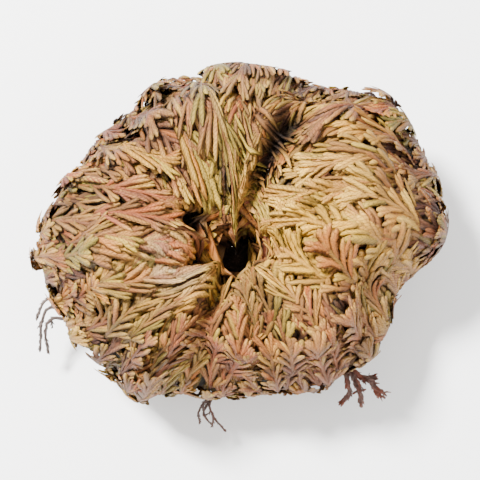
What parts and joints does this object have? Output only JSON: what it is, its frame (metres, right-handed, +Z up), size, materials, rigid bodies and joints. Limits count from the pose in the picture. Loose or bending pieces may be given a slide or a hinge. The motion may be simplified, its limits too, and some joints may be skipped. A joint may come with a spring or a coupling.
{
  "type": "rose of jericho",
  "caption": "Dry rose of Jericho, rolled up: scaly fronds in whorls rise from a short rootstock, turn up round the rim and curl over into a dimple.",
  "frame": {"origin": "centre of the flat spot under the rootstock, on which the plant rests", "axes": "+Z up through the dimple, +X along the plant's broad side"},
  "size_m": [0.0928, 0.0838, 0.0516],
  "materials": {
    "rootstock": "rough, fibrous, dark brown",
    "outer_fronds": "dry scaly, grey-brown",
    "middle_fronds": "dry scaly, tan",
    "inner_fronds": "dry scaly, golden tan",
    "heart_fronds": "dry scaly, reddish brown",
    "dead_stems": "matte, dark grey-brown"
  },
  "bodies": {
    "root": {"rootstock": "rootstock", "outer_frond_01": "outer_fronds", "outer_frond_02": "outer_fronds", "outer_frond_03": "outer_fronds", "outer_frond_04": "outer_fronds", "outer_frond_05": "outer_fronds", "outer_frond_06": "outer_fronds", "outer_frond_07": "outer_fronds", "outer_frond_08": "outer_fronds", "outer_frond_09": "outer_fronds", "outer_frond_10": "outer_fronds", "outer_frond_11": "outer_fronds", "outer_frond_12": "outer_fronds", "outer_frond_13": "outer_fronds", "middle_frond_01": "middle_fronds", "middle_frond_02": "middle_fronds", "middle_frond_03": "middle_fronds", "middle_frond_04": "middle_fronds", "middle_frond_05": "middle_fronds", "middle_frond_06": "middle_fronds", "middle_frond_07": "middle_fronds", "middle_frond_08": "middle_fronds", "middle_frond_09": "middle_fronds", "middle_frond_10": "middle_fronds", "middle_frond_11": "middle_fronds", "middle_frond_12": "middle_fronds", "middle_frond_13": "middle_fronds", "inner_frond_01": "inner_fronds", "inner_frond_02": "inner_fronds", "inner_frond_03": "inner_fronds", "inner_frond_04": "inner_fronds", "inner_frond_05": "inner_fronds", "inner_frond_06": "inner_fronds", "inner_frond_07": "inner_fronds", "inner_frond_08": "inner_fronds", "inner_frond_09": "inner_fronds", "inner_frond_10": "inner_fronds", "inner_frond_11": "inner_fronds", "inner_frond_12": "inner_fronds", "heart_frond_01": "heart_fronds", "heart_frond_02": "heart_fronds", "heart_frond_03": "heart_fronds", "heart_frond_04": "heart_fronds", "heart_frond_05": "heart_fronds", "heart_frond_06": "heart_fronds", "heart_frond_07": "heart_fronds", "heart_frond_08": "heart_fronds", "heart_frond_09": "heart_fronds", "heart_frond_10": "heart_fronds", "heart_frond_11": "heart_fronds", "heart_frond_12": "heart_fronds", "dead_stem_1": "dead_stems", "dead_stem_2": "dead_stems", "dead_stem_3": "dead_stems", "dead_stem_4": "dead_stems"}
  },
  "joints": []
}
